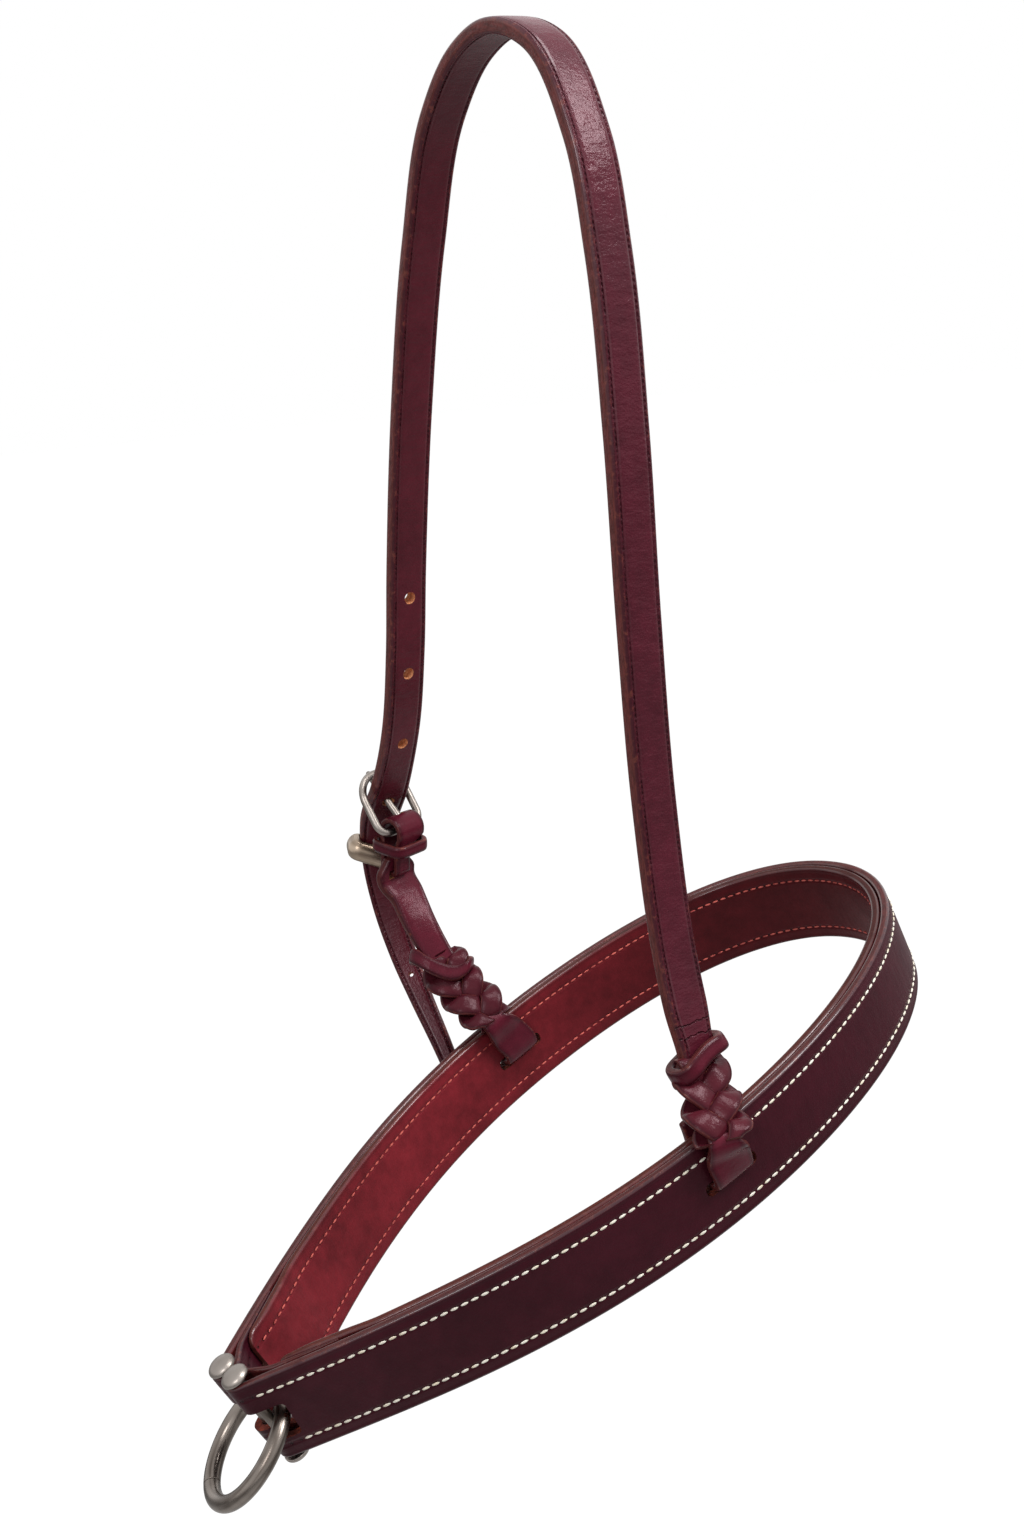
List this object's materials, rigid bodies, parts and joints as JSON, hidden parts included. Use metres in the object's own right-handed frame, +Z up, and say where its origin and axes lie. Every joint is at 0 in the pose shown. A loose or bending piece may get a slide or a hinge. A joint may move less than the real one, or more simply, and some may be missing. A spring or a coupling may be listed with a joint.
{
  "type": "noseband",
  "caption": "Leather tie-down noseband: lined band on screwed posts with a ring, crown strap with buckle and keeper, plaited hangers.",
  "frame": {"origin": "underside of the crown strap at its apex, where it rests on the horse's poll", "axes": "+Z up, +X from the ring end towards the nose, +Y towards the buckle side"},
  "size_m": [0.303, 0.2238, 0.4374],
  "materials": {
    "band_leather": "dark oxblood harness leather, waxed",
    "lining_leather": "burgundy lining leather, satin",
    "crown_leather": "burgundy strap leather, waxed",
    "knot_leather": "burgundy latigo leather, burnished",
    "brushed_steel": "brushed stainless steel",
    "keeper_nickel": "warm satin nickel"
  },
  "bodies": {
    "noseband": {"band_outer_ply": "band_leather", "band_lining": "lining_leather", "crown_strap": "crown_leather", "near_plait_strand_1": "knot_leather", "near_plait_strand_2": "knot_leather", "near_plait_strand_3": "knot_leather", "near_plait_collar": "knot_leather", "near_slot_loop": "knot_leather", "far_hanger": "knot_leather", "far_plait_strand_1": "knot_leather", "far_plait_strand_2": "knot_leather", "far_plait_strand_3": "knot_leather", "far_plait_collar": "knot_leather", "far_slot_loop": "knot_leather", "heel_link": "knot_leather", "neck_band": "knot_leather"},
    "ring": {"tie_down_ring": "brushed_steel"},
    "near_pin": {"near_pin_post": "brushed_steel", "near_pin_screw": "brushed_steel"},
    "far_pin": {"far_pin_post": "brushed_steel", "far_pin_screw": "brushed_steel"},
    "buckle_frame": {"buckle_frame": "brushed_steel"},
    "buckle_tongue": {"buckle_tongue": "brushed_steel"},
    "keeper": {"tail_keeper": "keeper_nickel"}
  },
  "joints": [
    {"name": "ring_swing", "type": "hinge", "parent": "noseband", "child": "ring", "pos_m": [-0.13628, -0.00347, -0.40771], "axis": [-0.0672, -0.9559, 0.2857], "range_deg": [-20, 25]},
    {"name": "near_pin_turn", "type": "hinge", "parent": "noseband", "child": "near_pin", "pos_m": [-0.14042, -0.01214, -0.40338], "axis": [-0.433, 0.1263, 0.8925], "continuous": true},
    {"name": "far_pin_turn", "type": "hinge", "parent": "noseband", "child": "far_pin", "pos_m": [-0.14027, -0.00253, -0.40467], "axis": [-0.433, 0.1263, 0.8925], "continuous": true},
    {"name": "frame_swivel", "type": "hinge", "parent": "noseband", "child": "buckle_frame", "pos_m": [0.0008, 0.1081, -0.2725], "axis": [0.9763, 0.2164, 0], "range_deg": [-1, 3]},
    {"name": "tongue_pivot", "type": "hinge", "parent": "buckle_frame", "child": "buckle_tongue", "pos_m": [0.0008, 0.1081, -0.2725], "axis": [0.9763, 0.2164, 0], "range_deg": [-2, 0]},
    {"name": "keeper_slide", "type": "slide", "parent": "noseband", "child": "keeper", "axis": [0, 0.0622, -0.9981], "range_m": [-0.0025, 0.002]}
  ]
}
